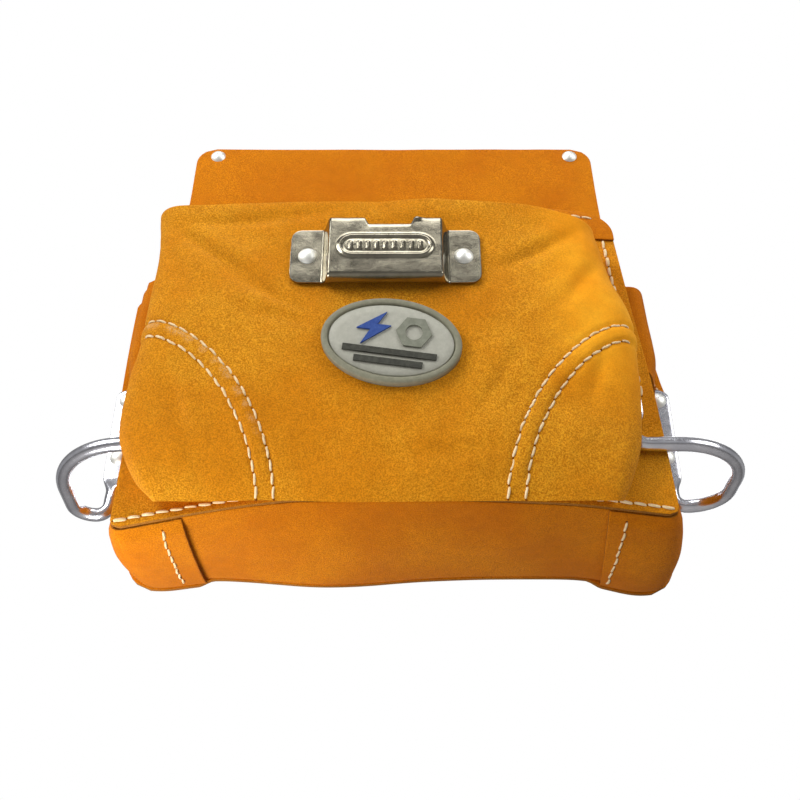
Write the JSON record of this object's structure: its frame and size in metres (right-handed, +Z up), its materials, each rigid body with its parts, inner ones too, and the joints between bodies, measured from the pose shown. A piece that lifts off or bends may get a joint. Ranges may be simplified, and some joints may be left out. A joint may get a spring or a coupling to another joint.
{
  "type": "tool pouch",
  "caption": "Belt-worn suede tool pouch: deep main pocket, boxed front pocket, tool sleeves, pressed tape clip, oval badge and a hammer loop on each side.",
  "frame": {"origin": "centre of the belt tunnel, where the belt that carries the pouch passes", "axes": "+X across the pouch and along the belt, +Y backwards towards the wearer, +Z up; the front pocket faces -Y"},
  "size_m": [0.341, 0.1194, 0.3],
  "materials": {
    "suede": "napped orange-tan split suede, matte, cream topstitching",
    "badge_rubber": "matte moulded grey-olive rubber",
    "icon_blue": "matte moulded blue rubber",
    "icon_grey": "matte moulded grey rubber",
    "icon_dark": "matte moulded dark rubber",
    "clip_steel": "nickel-plated pressed steel, lightly scuffed",
    "loop_steel": "polished nickel-plated steel rod",
    "rivet_steel": "satin nickel-plated rivet heads"
  },
  "bodies": {
    "root": {"back_panel": "suede", "belt_tunnel": "suede", "main_pocket_face": "suede", "main_mouth_band": "suede", "main_gusset_bottom": "suede", "main_gusset_left": "suede", "main_gusset_right": "suede", "side_sleeve_left": "suede", "side_sleeve_right": "suede", "wing_sleeve_left": "suede", "wing_sleeve_right": "suede", "front_pocket_face": "suede", "front_pocket_corner_left": "suede", "front_pocket_corner_right": "suede", "front_pocket_gusset": "suede", "badge_plate": "badge_rubber", "badge_bolt": "icon_blue", "badge_hexagon": "icon_grey", "badge_bars": "icon_dark", "tape_clip": "clip_steel", "hammer_loop_left": "loop_steel", "hammer_loop_right": "loop_steel", "tunnel_rivets": "rivet_steel", "tunnel_washers": "rivet_steel", "tape_clip_rivets": "rivet_steel", "tape_clip_washers": "rivet_steel", "hammer_loop_rivets_left": "rivet_steel", "hammer_loop_rivets_right": "rivet_steel", "hammer_loop_washers_left": "rivet_steel", "hammer_loop_washers_right": "rivet_steel"}
  },
  "joints": []
}
